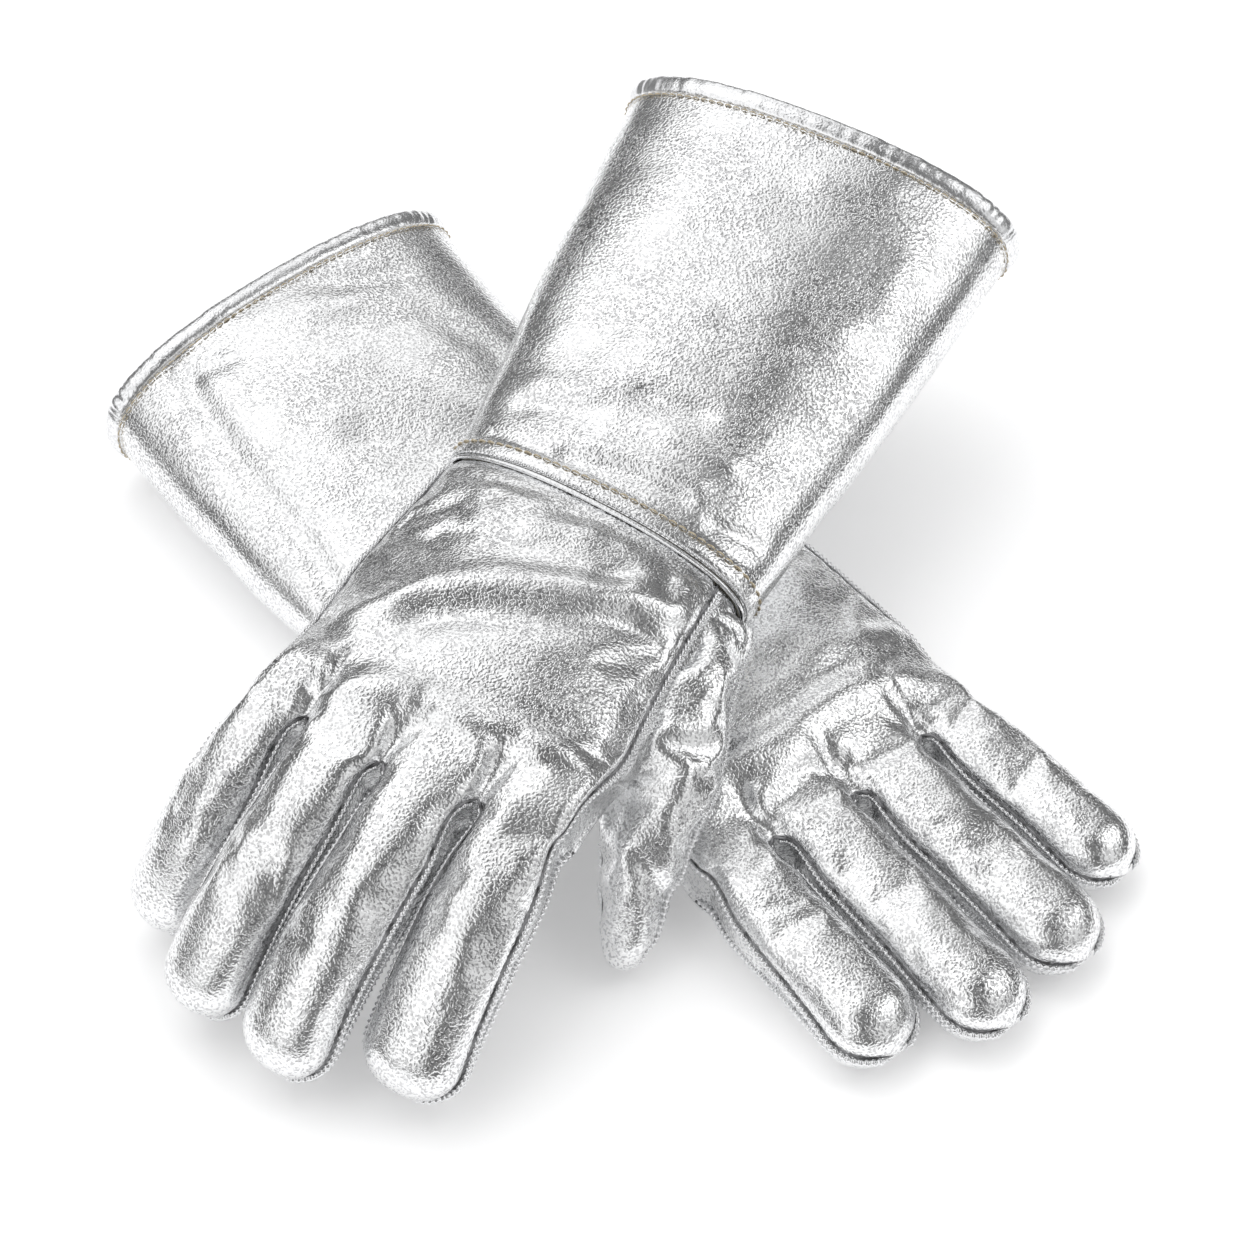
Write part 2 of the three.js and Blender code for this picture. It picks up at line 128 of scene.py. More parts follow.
def through(stations, x):
    """Height of a smooth curve through [x, value] stations, which never overshoots them."""
    xs, ys = np.array(stations, float).T
    x = np.clip(x, xs[0], xs[-1])
    step = np.diff(xs)
    slope = np.diff(ys) / step
    product = slope[:-1] * slope[1:]
    total = np.where(product > 0, slope[:-1] + slope[1:], 1)
    inner = np.where(product > 0, 2 * product / total, 0)
    m = np.concatenate([slope[:1], inner, slope[-1:]])
    i = np.clip(np.searchsorted(xs, x) - 1, 0, len(step) - 1)
    t = (x - xs[i]) / step[i]
    from_start = (2 * t**3 - 3 * t**2 + 1) * ys[i] + (t**3 - 2 * t**2 + t) * step[i] * m[i]
    from_end = (3 * t**2 - 2 * t**3) * ys[i + 1] + (t**3 - t**2) * step[i] * m[i + 1]
    return from_start + from_end


def bent(distance, degrees):
    """Distance forward, distance aside and heading after a bend spread over CUFF_BEND_RUN."""
    if not degrees:
        return distance, 0 * distance, 0 * distance
    angle = math.radians(degrees)
    turned = angle * np.clip(distance / CUFF_BEND_RUN, 0, 1)
    radius = CUFF_BEND_RUN / angle
    rest = np.maximum(0, distance - CUFF_BEND_RUN)
    forward = radius * np.sin(turned) + rest * np.cos(turned)
    return forward, radius * (1 - np.cos(turned)) + rest * np.sin(turned), turned


def skin(glove, x, angle, depth=0.0):
    """Points of the hand's or cuff's outer surface, sunk by depth."""
    x, angle, depth = (np.asarray(a, float) for a in np.broadcast_arrays(x, angle, depth))
    side = glove["side"]
    half = through(glove["half"], x) - depth
    middle = through(glove["middle"], x)
    s = bulge(np.sin(angle))
    reach = np.where(s > 0, through(glove["top"], x) - middle, middle - through(glove["bottom"], x))
    y = half * bulge(np.cos(angle)) + through(glove["shift"], x) * side
    z = middle + (reach - depth) * s
    back = np.maximum(0, -x)
    if glove["on_table"]:
        z = np.maximum(z, depth + back / CUFF_LENGTH * CUFF_EDGE_SAG)
    forward, aside, turn = bent(back, glove["cuff_turn"])
    _, climb, tilt = bent(back, glove["cuff_rise"])
    return np.stack([
        np.maximum(x, 0) - forward + np.where(x < 0, z * np.sin(tilt) - y * np.sin(turn) * side, 0),
        -aside * side + y * np.cos(turn),
        climb + z * np.cos(tilt),
    ], -1)


def knuckle_x(v):
    return KNUCKLE_REACH - KNUCKLE_FALL * (v - KNUCKLE_CENTRE) ** 2


def prepare_digit(glove, shape):
    """A finger's or the thumb's shape with what follows from it: its place in the glove's frame."""
    d = dict(shape)
    d.setdefault("cap", d["height"] + 1)
    d.setdefault("tip", d["half"])
    turn = math.radians(d["splay"])
    if "root_place" in d:
        x, v, z = d["root_place"]
        d["slant"] = 0
        hinge = z + d["height"]
    else:
        x, v = knuckle_x(d["v"]) + KNUCKLE_GAP, d["v"]
        hinge = glove["finger_middle"] + d["height"]
        slope = math.atan(-2 * KNUCKLE_FALL * (v - KNUCKLE_CENTRE))
        d["slant"] = math.tan(turn + slope) * glove["side"]
    d["place"] = np.array([x, v * glove["side"], hinge])
    d["turn"] = turn * glove["side"]
    d["floor"] = -hinge if glove["on_table"] else -math.inf
    return d


def root_at(d, angle):
    """How far along the digit its upright, slanted root lies at this angle round it."""
    drop = d["height"] * math.tan(math.radians(d["curl"][0])) * bulge(np.sin(angle))
    return d["slant"] * d["root"] * bulge(np.cos(angle)) - drop


def strip_angle(d, s):
    """Half angle that the strip let into a digit's side takes up, at s along it."""
    t = np.clip(s / (STRIP_LENGTH * d["length"]), 0, 1)
    tail = smooth((s / d["length"] - STRIP_LENGTH) / (1 - STRIP_LENGTH))
    return np.where(t < 1, mix(STRIP_ANGLE, STRIP_END_ANGLE, t * t), STRIP_END_ANGLE * (1 - 0.7 * tail))


def digit_point(d, s, angle, depth=0.0, pinch=0.0, squareness=SQUARENESS):
    """Points of a digit's skin in the glove's frame, at s along it and round it by angle. pinch pulls
    the side in, as a share of the width."""
    s, angle, depth, pinch, squareness = np.broadcast_arrays(s, angle, depth, pinch, squareness)
    start = d["length"] - d["cap"]
    cap = np.clip((s - start) / (d["cap"] - depth), 0, 1)
    rounding = np.sqrt(1 - cap**2)
    taper = smooth((s / d["length"] - 0.35) / 0.65)
    width = mix(mix(d["root"], d["half"], smooth(s / (0.4 * d["length"]))), d["tip"], taper)
    h = (d["height"] - depth) * rounding * bulge(np.sin(angle), squareness)
    across = (width - depth) * (1 - pinch) * rounding * bulge(np.cos(angle), squareness)
    p0 = math.radians(d["curl"][0])
    rate = (math.radians(d["curl"][1]) - p0) / d["length"]
    p = p0 + rate * s
    if abs(rate) < 1e-7:
        x, drop = s * math.cos(p0), s * math.sin(p0)
    else:
        x, drop = (np.sin(p) - math.sin(p0)) / rate, (math.cos(p0) - np.cos(p)) / rate
    z = np.maximum(-d["height"] - drop + h * np.cos(p), d["floor"] + depth)
    x = x + h * np.sin(p)
    c, w = math.cos(d["turn"]), math.sin(d["turn"])
    return d["place"] + np.stack([x * c - across * w, x * w + across * c, z], -1)


# ---------------- the net of quads of a hand
TOP_STEPS = 14          # columns over the back of each finger
WALL_STEPS = 6          # steps down a finger's side, or down the hand's edge
HAND_ROWS = 44
FINGER_ROWS = 28
CAP_ROWS = 9
ROOT_RUN = 30           # the hand's section turns into the fingers' over this distance
EDGE_ANGLE = {"thumb": math.radians(36), "little": math.radians(22)}   # seams at the wrist
CUT_ROW = 2             # finger rows that stay with the hand
CROTCH_SQUARENESS = 4.2
CROTCH_RUN = 26         # the section goes from that squareness to the usual one over this distance
PINCH = 0.06            # how far the strips pull in, as a share of a finger's width
ROOT_PINCH, ROOT_PINCH_RUN = 2.2, 14    # how much more of it there is at the root, and how far
NOTCH = 0.1             # how much narrower a finger is just past its root, which opens the crotches
WEB_SET_BACK = 1.5      # how far the web between two fingers lies behind their roots
PIPING_EDGE = 1.0       # where the hand's skin starts, beside the wrist piping
HAND_LIP, HAND_LIP_RUN = 1.5, 3.8       # how deep that edge dips under the piping, and over what distance


def ring_slots(top_steps):
    """The run (0 back, 1 far side, 2 front, 3 near side) and the share along it of each ring vertex."""
    top = [(0, k / top_steps) for k in range(top_steps + 1)]
    far = [(1, j / WALL_STEPS) for j in range(1, WALL_STEPS)]
    bottom = [(2, k / top_steps) for k in range(top_steps + 1)]
    near = [(3, j / WALL_STEPS) for j in range(1, WALL_STEPS)]
    run, share = np.array(top + far + bottom + near).T
    return run.astype(int), share


def ring_angle(run, share, near, far):
    """Angle round a section whose side walls take up the half angles near and far."""
    starts = np.stack([near, np.pi - far, np.pi + far, 2 * np.pi - near])
    ends = np.stack([np.pi - far, np.pi + far, 2 * np.pi - near, 2 * np.pi + near])
    pick = np.arange(len(run))
    return mix(starts[run, pick], ends[run, pick], share)


def finger_ring(d, s_from_root=None, row=None):
    """Ring of a finger's vertices, at a distance from its root or at one of its rows."""
    run, share = ring_slots(TOP_STEPS)
    start = d["length"] - d["cap"]
    guess = max(0, s_from_root if row is None else start * min(1, row / FINGER_ROWS))
    if row is not None and row > FINGER_ROWS:
        guess = cap_station(d, row - FINGER_ROWS)
    wall = np.full(len(run), float(strip_angle(d, guess)))
    angle = ring_angle(run, share, wall, wall)
    root = root_at(d, angle)
    if row is None:
        s = root + s_from_root
    elif row <= FINGER_ROWS:
        s = mix(root, start, row / FINGER_ROWS)
    else:
        s = np.full(len(run), guess)
    on_wall = (run % 2 == 1) * (1 - (2 * share - 1) ** 2)
    near_root = 1 + ROOT_PINCH * (1 - smooth(s / ROOT_PINCH_RUN))
    pinch = PINCH * on_wall * near_root * (1 - smooth((s / d["length"] - 0.6) / 0.4))
    pinch = pinch + NOTCH * smooth(s / 3) * (1 - smooth((s - 4) / 16))
    squareness = mix(CROTCH_SQUARENESS, SQUARENESS, smooth(s / CROTCH_RUN))
    return digit_point(d, s, angle, pinch=pinch, squareness=squareness)


class Net:
    """Rings of vertices, faces and face labels of one mesh, with the vertex pairs along its seams."""

    def __init__(self):
        self.rings = []
        self.faces = []
        self.labels = []
        self.seams = {}

    def points(self):
        return np.concatenate(self.rings)

    def add_ring(self, ring):
        first = sum(len(r) for r in self.rings)
        self.rings.append(ring)
        return np.arange(first, first + len(ring))

    def bridge(self, a, b, label=0):
        """Quads between two rings."""
        for i in range(len(a)):
            j = (i + 1) % len(a)
            self.faces.append((a[i], a[j], b[j], b[i]))
            self.labels.append(label)

    def loft(self, rings, closed=False):
        """Quads between each ring and the next, and between the last and the first if it is closed."""
        for a, b in zip(rings, rings[1:] + rings[:1] if closed else rings[1:]):
            self.bridge(a, b)

    def cap(self, ring, tip, label=0):
        """Triangles from a ring to one point, which becomes the net's last vertex and is returned."""
        last = self.add_ring(np.asarray(tip)[None])[0]
        for i in range(len(ring)):
            self.faces.append((ring[i], ring[(i + 1) % len(ring)], last))
            self.labels.append(label)
        return last


def digit_tip(d):
    return digit_point(d, np.array([d["length"]]), np.array([0.0]))[0]


def cap_station(d, row):
    """How far along a digit a row of its rounded end is."""
    return d["length"] - d["cap"] + d["cap"] * math.sin(row / CAP_ROWS * math.pi / 2)


def hand_net(glove):
    """One net for a glove's hand and its four fingers, in the glove's frame."""
    order = sorted(glove["fingers"], key=lambda f: -f["v"] * glove["side"])
    digits = [prepare_digit(glove, f) for f in order]
    count = len(digits)
    tops = count * TOP_STEPS
    near_name, far_name = ("thumb", "little") if glove["side"] > 0 else ("little", "thumb")
    hand_run, hand_share = ring_slots(tops)
    slots = len(hand_run)
    far_at = tops + 1
    bottom_at = far_at + WALL_STEPS - 1
    near_at = bottom_at + tops + 1
    own = TOP_STEPS + 1
    own_bottom = own + WALL_STEPS - 1
    own_near = own_bottom + own

    def hand_slots_of(i):
        """For each slot of finger i's ring, its slot in the hand's ring, or -1 where it is on a web."""
        top = [i * TOP_STEPS + k for k in range(own)]
        far = [far_at + j if i == count - 1 else -1 for j in range(WALL_STEPS - 1)]
        bottom = [bottom_at + (count - 1 - i) * TOP_STEPS + k for k in range(own)]
        near = [near_at + j if i == 0 else -1 for j in range(WALL_STEPS - 1)]
        return np.array(top + far + bottom + near)

    def assemble(rings):
        """The hand's ring made of the fingers' rings: a place that two of them share is the mean."""
        total, seen = np.zeros((slots, 3)), np.zeros((slots, 1))
        for i, ring in enumerate(rings):
            where = hand_slots_of(i)
            np.add.at(total, where[where >= 0], ring[where >= 0])
            np.add.at(seen, where[where >= 0], 1)
        return total / seen

    roots = [finger_ring(d, row=0) for d in digits]
    root = assemble(roots)
    edges = np.full(slots, EDGE_ANGLE[near_name]), np.full(slots, EDGE_ANGLE[far_name])
    wrist_angle = ring_angle(hand_run, hand_share, *edges)
    half = through(glove["half"], KNUCKLE_STATION)
    shift = through(glove["shift"], KNUCKLE_STATION) * glove["side"]
    across = np.clip((root[:, 1] - shift) / half, -0.992, 0.992)
    upper = np.arccos(np.sign(across) * np.abs(across) ** (SQUARENESS / 2))
    knuckle_angle = np.where(hand_run == 0, upper, 2 * np.pi - upper)
    far_wall, near_wall = hand_run == 1, hand_run == 3
    knuckle_angle[far_wall] = mix(knuckle_angle[tops], knuckle_angle[bottom_at], hand_share[far_wall])
    last = knuckle_angle[near_at - 1]
    knuckle_angle[near_wall] = mix(last, 2 * np.pi + knuckle_angle[0], hand_share[near_wall])

    net = Net()
    rows = []
    for r in range(HAND_ROWS):
        t = r / HAND_ROWS
        x = mix(PIPING_EDGE, root[:, 0], t)
        angle = mix(wrist_angle, knuckle_angle, smooth(t))
        lip = HAND_LIP * np.exp(-((x - PIPING_EDGE) / HAND_LIP_RUN) ** 2)
        ring = skin(glove, x, angle, lip)
        back = x - root[:, 0]
        share = smooth(1 + back / ROOT_RUN)[:, None]
        if share.max() > 0:
            behind = [finger_ring(d, s_from_root=float(back.mean())) for d in digits]
            ring = mix(ring, assemble(behind), share)
        rows.append(net.add_ring(ring))
    rows.append(net.add_ring(root))
    net.loft(rows)

    webs = []
    for i in range(count - 1):
        web = (roots[i][own:own_bottom] + roots[i + 1][own_near:][::-1]) / 2
        web[:, 0] -= WEB_SET_BACK
        webs.append(net.add_ring(web))

    for i, d in enumerate(digits):
        slots_of = hand_slots_of(i)
        ring = np.where(slots_of >= 0, rows[-1][slots_of], -1)
        if i < count - 1:
            ring[own:own_bottom] = webs[i]
        if i > 0:
            ring[own_near:] = webs[i - 1][::-1]
        lines = [ring]
        for q in range(1, FINGER_ROWS + CAP_ROWS):
            lines.append(net.add_ring(finger_ring(d, row=q)))
        for q, (a, b) in enumerate(zip(lines, lines[1:])):
            net.bridge(a, b, i + 1 if q >= CUT_ROW else 0)
        net.cap(lines[-1], digit_tip(d), i + 1)
        # A seam is the pairs of its own vertices and their neighbours on the strip. The back's seams
        # go on to the wrist along the hand's two edges.
        backs = {"near": (0, own_near + WALL_STEPS - 2), "far": (own - 1, own)}
        fronts = {"near": (own_near - 1, own_near), "far": (own_bottom, own_bottom - 1)}
        for side, (edge, wall) in backs.items():
            seam = [(line[edge], line[wall]) for line in lines]
            if (side == "near" and i == 0) or (side == "far" and i == count - 1):
                hand_edge, hand_wall = (0, slots - 1) if side == "near" else (tops, tops + 1)
                seam = [(row[hand_edge], row[hand_wall]) for row in rows[:-1]] + seam
            net.seams[(d["name"], side, "back")] = seam
        for side, (edge, wall) in fronts.items():
            net.seams[(d["name"], side, "front")] = [(line[edge], line[wall]) for line in lines]
    net.digits = digits
    return net


# ---------------- meshes and placing
def placed(glove):
    """The turn and the place of the glove's frame in the part's frame: millimetres in, metres out."""
    yaw = Matrix.Rotation(math.radians(glove["yaw"]), 3, "Z")
    turn = yaw @ Matrix.Rotation(math.radians(glove["roll"]), 3, "X")
    index = prepare_digit(glove, glove["fingers"][0])
    hinge = Vector(JOINTS[glove["name"] + "_index_lift"]["pos_m"])
    place = hinge - turn @ Vector(index["place"]) * MM
    return np.array(turn) * MM, np.array(place)


def to_frame(glove, points):
    turn, place = placed(glove)
    return np.asarray(points) @ turn.T + place


def make_mesh(name, points, faces, material=None):
    mesh = bpy.data.meshes.new(name)
    mesh.from_pydata([tuple(p) for p in points], [], [tuple(int(i) for i in f) for f in faces])
    mesh.validate()
    mesh.polygons.foreach_set("use_smooth", [True] * len(mesh.polygons))
    if material:
        mesh.materials.append(material)
    return linked(name, mesh)


def linked(name, data):
    """A new object in the scene."""
    made = bpy.data.objects.new(name, data)
    bpy.context.scene.collection.objects.link(made)
    return made


def read(items, key):
    values = np.zeros(len(items) * 3)
    items.foreach_get(key, values)
    return values.reshape(-1, 3)


def points_of(thing):
    return read(thing.data.vertices, "co")


def normals_of(thing):
    return read(thing.data.vertex_normals, "vector")


def set_points(thing, points):
    thing.data.vertices.foreach_set("co", np.asarray(points, np.float32).ravel())
    thing.data.update()


def face_outwards(thing):
    """Turns the faces of a closed or tube-like mesh so that they point away from its middle line."""
    corners = [tuple(face.vertices)[:3] for face in thing.data.polygons]
    a, b, c = points_of(thing)[np.array(corners)].transpose(1, 0, 2)
    if (a * np.cross(b, c)).sum() < 0:
        thing.data.flip_normals()


def apply_modifiers(thing):
    evaluated = thing.evaluated_get(bpy.context.evaluated_depsgraph_get())
    mesh = bpy.data.meshes.new_from_object(evaluated)
    thing.modifiers.clear()
    old, thing.data = thing.data, mesh
    bpy.data.meshes.remove(old)


def subdivide(thing, levels):
    modifier = thing.modifiers.new("subdivide", "SUBSURF")
    modifier.levels = modifier.render_levels = levels
    apply_modifiers(thing)


def noise_at(points, size, seed):
    """Smooth noise of about -1 to 1 at each point, with features of that size."""
    away = Vector((seed, 1.7 * seed, 0.3 * seed))
    return np.array([noise.noise(Vector(p) / size + away) for p in points])


def ridge(flat, line, width):
    """1 along a line of [x, v] points, falling to 0 over the width on both sides of it."""
    best = np.full(len(flat), np.inf)
    for a, b in zip(line, line[1:]):
        a, b = np.array(a, float), np.array(b, float)
        t = np.clip(((flat - a) @ (b - a)) / ((b - a) @ (b - a)), 0, 1)
        best = np.minimum(best, np.linalg.norm(flat - (a + t[:, None] * (b - a)), axis=1))
    return np.exp(-((best / width) ** 2))


# ---------------- folds and wrinkles
# Ridges of a glove's back: a line of (x, v) points, the half width and the height. A negative height
# is a crease.
HAND_FOLDS = {
    "right": [
        ([(20, 40), (34, 16), (43, -5), (56, -24), (76, -37)], 7, 2.6),
        ([(34, 34), (48, 14), (58, -6), (68, -18)], 6, -1.9),
        ([(82, 40), (91, 12), (92, -10), (99, -27)], 6, 1.5),
        ([(76, 36), (83, 12), (84, -14), (90, -28)], 5, -1.2),
        ([(6, 42), (7, 10), (8, -20), (10, -42)], 3.2, -0.9),
        ([(10, 38), (20, 26)], 3.5, 1.3), ([(15, 34), (24, 18)], 3.5, -1.1),
        ([(14, 6), (20, -10)], 4, 0.9), ([(22, -30), (34, -38)], 4, 1.0),
        ([(16, -26), (26, -32)], 3, -0.9), ([(103, 27), (92, 31)], 3, -1.0),
        ([(103, 25), (94, 20)], 2.6, 0.9), ([(103, 27), (90, 25)], 2.2, -0.7),
        ([(106, -2), (95, 4)], 2.6, -0.8), ([(106, -2), (96, -8)], 2.6, -0.8),
        ([(107, -1), (94, -2)], 2.2, 0.7),
        ([(105, -28), (93, -24)], 2.6, -0.9), ([(105, -28), (95, -34)], 2.6, 0.8),
        ([(80, 47), (110, 47)], 4, -1.0), ([(30, 46), (60, 44), (84, 46)], 4, 0.9),
    ],
    "left": [
        ([(80, 30), (86, 6), (85, -20), (90, -46)], 5, 1.5),
        ([(74, 26), (78, 0), (78, -30)], 5, -1.2),
        ([(97, 24), (92, 4), (97, -12)], 5, 1.3), ([(98, -26), (92, -40), (98, -52)], 5, 1.2),
        ([(104, 28), (94, 32)], 2.8, -1.0), ([(104, 27), (94, 22)], 2.6, 0.9),
        ([(108, -1), (97, 4)], 2.6, -0.8), ([(108, -1), (98, -7)], 2.6, 0.8),
        ([(106, -31), (96, -27)], 2.6, -0.9), ([(106, -31), (97, -37)], 2.6, 0.8),
        ([(60, -20), (70, -34), (76, -52)], 6, 1.0), ([(48, 10), (60, 0), (64, -16)], 7, -1.2),
    ],
}
CUFF_FOLDS = {
    "right": [
        ([(-17, 20), (-15, 2), (-11, -18)], 3.6, -1.5), ([(-22, 22), (-21, 0), (-17, -16)], 4, 1.1),
        ([(-44, 10), (-41, -10)], 4, -1.0), ([(-35, 26), (-33, 4)], 4, 0.9),
        ([(-27, -22), (-23, -40)], 4, -1.1), ([(-34, -24), (-31, -42)], 5, 0.9),
        ([(-64, -30), (-50, -34)], 8, -1.2), ([(-18, 46), (-14, 34)], 3, -0.9),
        ([(-128, 34), (-112, 38), (-96, 30)], 6, 0.9), ([(-76, -8), (-72, -22)], 4, 0.6),
        ([(-108, -12), (-104, -28)], 5, -0.6), ([(-150, 16), (-140, -4)], 6, 0.6),
        ([(-9, 44), (-9, 0), (-9, -44)], 2.4, -0.7),
    ],
    "left": [
        ([(-160, 48), (-134, 54), (-110, 59), (-70, 63), (-40, 70)], 4.5, -2.2),
        ([(-160, 40), (-150, 46), (-146, 34)], 4, -1.0), ([(-158, -4), (-148, -14), (-142, -32)], 6, -1.0),
        ([(-154, 20), (-146, 4), (-140, -10)], 7, 1.0), ([(-120, -30), (-96, -36), (-80, -30)], 7, -0.8),
        ([(-90, 20), (-74, 6), (-64, -12)], 9, -0.9), ([(-132, 16), (-118, 2)], 9, 0.7),
    ],
}
# Layers of noise: the size, height and seed of each.
BROAD_NOISE = [(36, 0.9, 11), (16, 0.2, 23)]
FINE_NOISE = [(8, 0.1, 37), (4.2, 0.05, 41)]
THUMB_NOISE = [(17, 1.9, 5), (9, 0.9, 9), (5, 0.3, 3)]
BINDING_NOISE = [(2.6, 0.42, 3), (9, 0.5, 8)]
WRIST_CALM, RIM_CALM = 9, 14        # folds fade out over these distances from the wrist seam and the rim
SIMULATION_FRAMES = 18
CLOTH = dict(quality=6, mass=0.25, tension_stiffness=25, compression_stiffness=25, shear_stiffness=12,
             bending_stiffness=0.6, air_damping=4, vertex_group_mass="held", pin_stiffness=1,
             use_pressure=True)


def displace(thing, offsets):
    """Moves each vertex along its normal."""
    set_points(thing, points_of(thing) + normals_of(thing) * offsets[:, None])


def layered_noise(points, layers):
    return sum(height * noise_at(points, size, seed) for size, height, seed in layers)


def fold(thing, glove, folds):
    """Raises the folds of a glove's back, and its slack, on a mesh in the glove's frame."""
    p, n = points_of(thing), normals_of(thing)
    flat = np.stack([p[:, 0], p[:, 1] * glove["side"]], 1)
    upper = smooth(n[:, 2] * 1.6 + 0.1)         # 0 on the palm, 1 where the skin faces up
    offsets = sum(height * ridge(flat, line, width) for line, width, height in folds) * upper
    quiet = smooth(np.abs(p[:, 0]) / WRIST_CALM) * smooth(np.abs(p[:, 0] + CUFF_LENGTH) / RIM_CALM)
    displace(thing, (offsets + layered_noise(p, BROAD_NOISE)) * quiet)


def simulate(thing, held, growth, pressure, cap):
    """Lets the leather settle as slightly oversized cloth, blown out from inside, and applies the result.
    held is from 0, free, to 1, fixed, at each vertex. No point moves further than cap millimetres."""
    before = points_of(thing)
    set_points(thing, before * MM)
    group = thing.vertex_groups.new(name="held")
    for i, weight in enumerate(held):
        if weight > 0.01:
            group.add([i], float(weight), "REPLACE")
    cloth = thing.modifiers.new("cloth", "CLOTH")
    for setting, value in CLOTH.items():
        setattr(cloth.settings, setting, value)
    cloth.settings.shrink_min = -growth
    cloth.settings.uniform_pressure_force = pressure
    cloth.settings.effector_weights.gravity = 0
    cloth.collision_settings.use_collision = False
    cloth.point_cache.frame_start, cloth.point_cache.frame_end = 1, SIMULATION_FRAMES
    scene = bpy.context.scene
    for step in range(1, SIMULATION_FRAMES + 1):
        scene.frame_set(step)
    apply_modifiers(thing)
    scene.frame_set(1)
    move = points_of(thing) / MM - before
    far = np.linalg.norm(move, axis=1, keepdims=True)
    move *= np.minimum(1, cap / np.maximum(far, 1e-6)) * (1 - np.asarray(held)[:, None])
    set_points(thing, before + move)
    thing.vertex_groups.clear()


# ---------------- materials
class Tree:
    """Short calls for building the node tree of a material or a world."""

    def __init__(self, owner):
        owner.use_nodes = True
        self.tree = owner.node_tree

    def add(self, kind, **settings):
        node = self.tree.nodes.new(kind)
        for key, value in settings.items():
            if key in node.inputs.keys():
                node.inputs[key].default_value = value
            else:
                setattr(node, key, value)
        return node

    def link(self, a, b):
        self.tree.links.new(a, b)


class Nodes(Tree):
    def __init__(self, name, color, metallic, roughness):
        self.material = bpy.data.materials.new(name)
        super().__init__(self.material)
        self.shader = self.tree.nodes["Principled BSDF"]
        self.shader.inputs["Base Color"].default_value = (*color, 1)
        self.shader.inputs["Metallic"].default_value = metallic
        self.shader.inputs["Roughness"].default_value = roughness
        self.coordinates = self.add("ShaderNodeTexCoord").outputs["Object"]

    def noise(self, scale, detail=2.0, distortion=0.0, vector=None):
        node = self.add("ShaderNodeTexNoise", Scale=scale, Detail=detail, Distortion=distortion)
        self.link(vector or self.coordinates, node.inputs["Vector"])
        return node.outputs["Fac"]

    def warped(self, scale, amount):
        """Coordinates pushed about by noise, in metres."""
        node = self.add("ShaderNodeTexNoise", Scale=scale, Detail=1.0)
        self.link(self.coordinates, node.inputs["Vector"])
        centred = self.add("ShaderNodeVectorMath", operation="SUBTRACT")
        centred.inputs[1].default_value = (0.5, 0.5, 0.5)
        self.link(node.outputs["Color"], centred.inputs[0])
        scaled = self.add("ShaderNodeVectorMath", operation="SCALE", Scale=amount)
        self.link(centred.outputs[0], scaled.inputs[0])
        total = self.add("ShaderNodeVectorMath", operation="ADD")
        self.link(self.coordinates, total.inputs[0])
        self.link(scaled.outputs[0], total.inputs[1])
        return total.outputs[0]

    def times(self, a, b):
        """A socket times another socket or a number."""
        node = self.add("ShaderNodeMath", operation="MULTIPLY")
        self.link(a, node.inputs[0])
        if isinstance(b, float):
            node.inputs[1].default_value = b
        else:
            self.link(b, node.inputs[1])
        return node.outputs[0]

    def ranged(self, value, low, high, to_low, to_high):
        ends = {"From Min": low, "From Max": high, "To Min": to_low, "To Max": to_high}
        node = self.add("ShaderNodeMapRange", **ends)
        self.link(value, node.inputs["Value"])
        return node.outputs[0]

    def tint(self, value, at_0, at_1):
        """The material's colour, between those at a value of 0 and at 1."""
        ramp = self.add("ShaderNodeValToRGB")
        ramp.color_ramp.elements[0].color = (*at_0, 1)
        ramp.color_ramp.elements[1].color = (*at_1, 1)
        self.link(value, ramp.inputs["Fac"])
        self.link(ramp.outputs["Color"], self.shader.inputs["Base Color"])

    def bump(self, heights):
        """Bumps of (height socket, depth in metres), one on top of the other."""
        normal = None
        for height, depth in heights:
            node = self.add("ShaderNodeBump", Strength=1.0, Distance=depth)
            self.link(height, node.inputs["Height"])
            if normal:
                self.link(normal, node.inputs["Normal"])
            normal = node.outputs["Normal"]
        self.link(normal, self.shader.inputs["Normal"])


SLACK_BUMP, GRAIN_BUMP = 0.00008, 0.0001        # metres


def silver_leather(name, grain_and_pit_shade=1.0, pit_shade=(0.54, 0.54, 0.55), light=(0.93, 0.935, 0.94), roughness=0.17):
    """Metallised leather: flat pebbles of about a millimetre, with shade painted darker into the pits
    between them, and patches of wear where the grain and that painted shade are weaker.
    """
    m = Nodes(name, light, 1.0, roughness)
    pebbles = m.noise(scale=1150, detail=0.5, distortion=0.3, vector=m.warped(scale=130, amount=0.0016))
    wear_and_pit_shade = m.ranged(m.noise(46, 3), 0.4, 0.6, 0.6, 1.0)
    heights = m.times(m.ranged(pebbles, 0.32, 0.6, 0.0, 1.0), wear_and_pit_shade)
    m.bump([(m.noise(210, 2, 0.6), SLACK_BUMP * grain_and_pit_shade), (heights, GRAIN_BUMP * grain_and_pit_shade)])
    # Painted shade: the base colour is darkened in the pits between the pebbles, where their hollows and
    # edges show dark.
    pit_shading = m.times(m.ranged(pebbles, 0.36, 0.5, 1.0, 0.0), wear_and_pit_shade)
    m.tint(m.times(pit_shading, grain_and_pit_shade), light, pit_shade)
    rough = m.ranged(m.noise(26, 4), 0.3, 0.7, roughness - 0.05, roughness + 0.09)
    m.link(rough, m.shader.inputs["Roughness"])
    return m.material


def thread(name):
    m = Nodes(name, (0.7, 0.62, 0.46), 0.0, 0.8)
    m.tint(m.ranged(m.noise(900, 2), 0.3, 0.7, 0, 1), (0.52, 0.42, 0.27), (0.82, 0.74, 0.58))
    twist = m.add("ShaderNodeTexWave", Scale=1500.0, Distortion=1.5)
    m.link(m.coordinates, twist.inputs["Vector"])
    m.bump([(twist.outputs["Fac"], 0.0001)])
    return m.material


